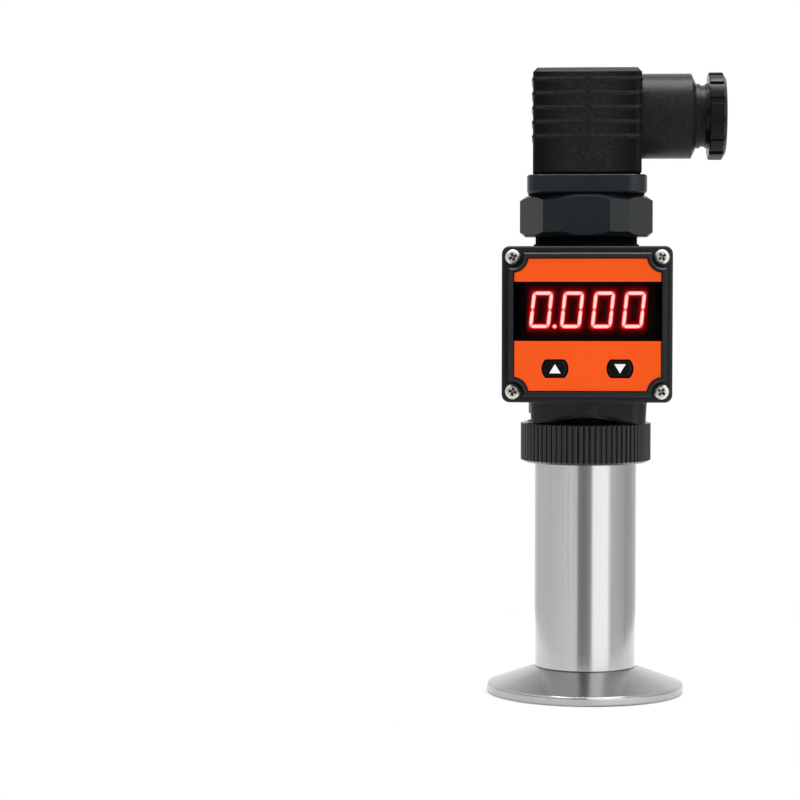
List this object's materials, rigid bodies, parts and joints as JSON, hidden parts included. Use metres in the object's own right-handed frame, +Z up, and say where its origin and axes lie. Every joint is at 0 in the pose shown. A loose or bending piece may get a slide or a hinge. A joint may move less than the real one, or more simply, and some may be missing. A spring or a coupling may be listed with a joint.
{
  "type": "pressure transmitter",
  "caption": "Sanitary clamp pressure transmitter: clamp flange and steel tube carry a swivelling display head with keys and a right-angle cable plug.",
  "frame": {"origin": "centre of the flat clamp face at the bottom of the ferrule", "axes": "+Z up the sensor tube towards the plug, -Y is the way the display faces, +X is the way the cable leaves"},
  "size_m": [0.0603, 0.0514, 0.1591],
  "materials": {
    "turned_steel": "turned and polished stainless steel",
    "tube_steel": "satin brushed stainless steel tube",
    "diaphragm_steel": "bright pressed stainless foil",
    "cell_steel": "plain turned stainless steel",
    "screw_nickel": "nickel-plated",
    "pin_gold": "gold-plated",
    "contact_brass": "tinned brass",
    "insert_brass": "plain machined brass",
    "black_housing": "fine moulded grain",
    "black_nut": "satin moulded nylon",
    "black_ring": "satin moulded nylon",
    "black_plug": "spark-eroded grain",
    "black_gland": "satin moulded nylon",
    "white_insert": "moulded polyamide",
    "grey_header": "moulded",
    "black_rubber": "moulded nitrile",
    "smoked_window": "smoked acrylic",
    "orange_film": "printed film",
    "black_key": "moulded key with white mark",
    "led_lit": "red light bars",
    "led_block": "painted reflector face",
    "green_board": "solder resist on laminate",
    "black_chip": "moulded packages",
    "red_wire": "silicone insulation",
    "washer_plastic": "moulded acetal"
  },
  "bodies": {
    "sensor": {"clamp_ferrule": "turned_steel", "diaphragm_ring": "turned_steel", "diaphragm": "diaphragm_steel", "pressure_cell": "cell_steel", "cell_o_ring": "black_rubber", "cell_nut": "cell_steel", "cell_pins": "pin_gold", "header_board": "green_board", "amplifier_board": "green_board", "amplifier_chips": "black_chip", "sensor_tube": "tube_steel", "tube_adapter": "cell_steel", "swivel_o_ring": "black_rubber"},
    "display_head": {"rear_housing": "black_housing", "cover_gasket": "black_rubber", "front_cover": "black_housing", "cover_screws": "screw_nickel", "display_window": "smoked_window", "face_overlay": "orange_film", "key_switches": "black_chip", "display_board": "green_board", "led_module": "led_block", "led_digits": "led_lit", "board_header": "grey_header", "power_board": "green_board", "power_components": "black_chip", "signal_leads": "red_wire", "blade_leads": "red_wire", "lock_nut": "black_nut", "base_gasket": "black_rubber", "connector_base": "black_nut", "contact_blades": "contact_brass", "threaded_insert": "insert_brass"},
    "coupling_ring": {"coupling_ring": "black_ring"},
    "key_up": {"key_up": "black_key"},
    "key_down": {"key_down": "black_key"},
    "plug": {"plug_housing": "black_plug", "profile_gasket": "black_rubber", "terminal_insert": "white_insert", "terminal_clamps": "contact_brass", "terminal_screws": "screw_nickel", "retaining_screw": "screw_nickel", "screw_seal": "black_rubber", "gland_seal": "black_rubber", "gland_washer": "washer_plastic"},
    "gland_nut": {"gland_nut": "black_gland"}
  },
  "joints": [
    {"name": "head_swivel", "type": "hinge", "parent": "sensor", "child": "display_head", "pos_m": [0, 0, 0.0634], "axis": [0, 0, 1], "range_deg": [-165, 165]},
    {"name": "coupling_ring_turn", "type": "hinge", "parent": "display_head", "child": "coupling_ring", "pos_m": [0, 0, 0.064], "axis": [0, 0, 1], "range_deg": [-360, 0]},
    {"name": "key_up_press", "type": "slide", "parent": "display_head", "child": "key_up", "axis": [0, 1, 0], "range_m": [0, 0.0005], "stiffness_N_per_m": 2000, "springref_m": -0.0003},
    {"name": "key_down_press", "type": "slide", "parent": "display_head", "child": "key_down", "axis": [0, 1, 0], "range_m": [0, 0.0005], "stiffness_N_per_m": 2000, "springref_m": -0.0003},
    {"name": "plug_pull", "type": "slide", "parent": "display_head", "child": "plug", "axis": [0, 0, 1], "range_m": [0, 0.03]},
    {"name": "gland_nut_turn", "type": "hinge", "parent": "plug", "child": "gland_nut", "pos_m": [0.033, 0, 0.14765], "axis": [1, 0, 0], "range_deg": [0, 360]}
  ]
}
